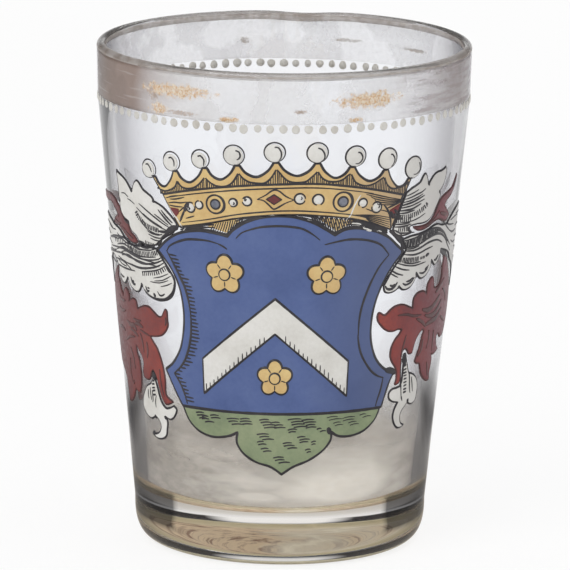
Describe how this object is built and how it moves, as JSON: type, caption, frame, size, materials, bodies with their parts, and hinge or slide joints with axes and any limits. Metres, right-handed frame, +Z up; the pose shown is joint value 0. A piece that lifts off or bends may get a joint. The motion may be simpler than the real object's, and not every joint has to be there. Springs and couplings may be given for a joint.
{
  "type": "enamelled drinking glass",
  "caption": "Tapering blown tumbler with a thick base, a worn gilt band and bead row under the lip, and a shield with coronet and mantling in raised enamel.",
  "frame": {"origin": "middle of the foot, on the surface the glass stands on", "axes": "+Z up along the glass's own axis, the shield faces -Y, +X to the viewer's right"},
  "size_m": [0.0854, 0.0854, 0.115],
  "materials": {
    "clear_glass": "clear blown glass, slightly uneven, polished by use, faint grey-brown tint in the thick base",
    "worn_gilding": "fired gilding worn to a mauve-grey film with a few orange-gold remains",
    "bead_enamel": "small round drops of pale grey-white enamel, glossy",
    "white_enamel": "fired enamel, satin to glossy, slightly raised, brushed unevenly",
    "gold_enamel": "fired enamel, satin to glossy, slightly raised, brushed unevenly",
    "blue_enamel": "fired enamel, satin to glossy, slightly raised, brushed unevenly",
    "red_enamel": "fired enamel, satin to glossy, slightly raised, brushed unevenly",
    "green_enamel": "fired enamel, satin to glossy, slightly raised, brushed unevenly",
    "black_enamel": "fired black line enamel, satin, drawn with a fine brush"
  },
  "bodies": {
    "root": {"bead_row": "bead_enamel", "charge_chevron": "white_enamel", "charge_rose_1": "gold_enamel", "charge_rose_2": "gold_enamel", "charge_rose_3": "gold_enamel", "coronet_circlet": "gold_enamel", "coronet_crest": "gold_enamel", "coronet_lining_left": "gold_enamel", "coronet_lining_right": "gold_enamel", "coronet_pearl_1": "white_enamel", "coronet_pearl_2": "white_enamel", "coronet_pearl_3": "white_enamel", "coronet_pearl_4": "white_enamel", "coronet_pearl_5": "white_enamel", "coronet_pearl_6": "white_enamel", "coronet_pearl_7": "white_enamel", "coronet_pearl_8": "white_enamel", "coronet_pearl_9": "white_enamel", "coronet_ruby": "red_enamel", "coronet_ruby_left": "red_enamel", "coronet_ruby_right": "red_enamel", "coronet_sapphire_left": "blue_enamel", "coronet_sapphire_right": "blue_enamel", "coronet_seed_pearl_1": "white_enamel", "coronet_seed_pearl_2": "white_enamel", "coronet_seed_pearl_3": "white_enamel", "coronet_seed_pearl_4": "white_enamel", "coronet_seed_pearl_5": "white_enamel", "coronet_seed_pearl_6": "white_enamel", "coronet_seed_pearl_7": "white_enamel", "coronet_seed_pearl_8": "white_enamel", "gilt_rim_band": "worn_gilding", "glass_body": "clear_glass", "mantling_left_foliage": "red_enamel", "mantling_left_leaf": "white_enamel", "mantling_left_ribbon": "red_enamel", "mantling_left_scroll": "white_enamel", "mantling_left_tassel": "white_enamel", "mantling_right_foliage": "red_enamel", "mantling_right_leaf": "white_enamel", "mantling_right_ribbon": "red_enamel", "mantling_right_scroll": "white_enamel", "mantling_right_tassel": "white_enamel", "shield_field": "blue_enamel", "shield_ground": "green_enamel"}
  },
  "joints": []
}
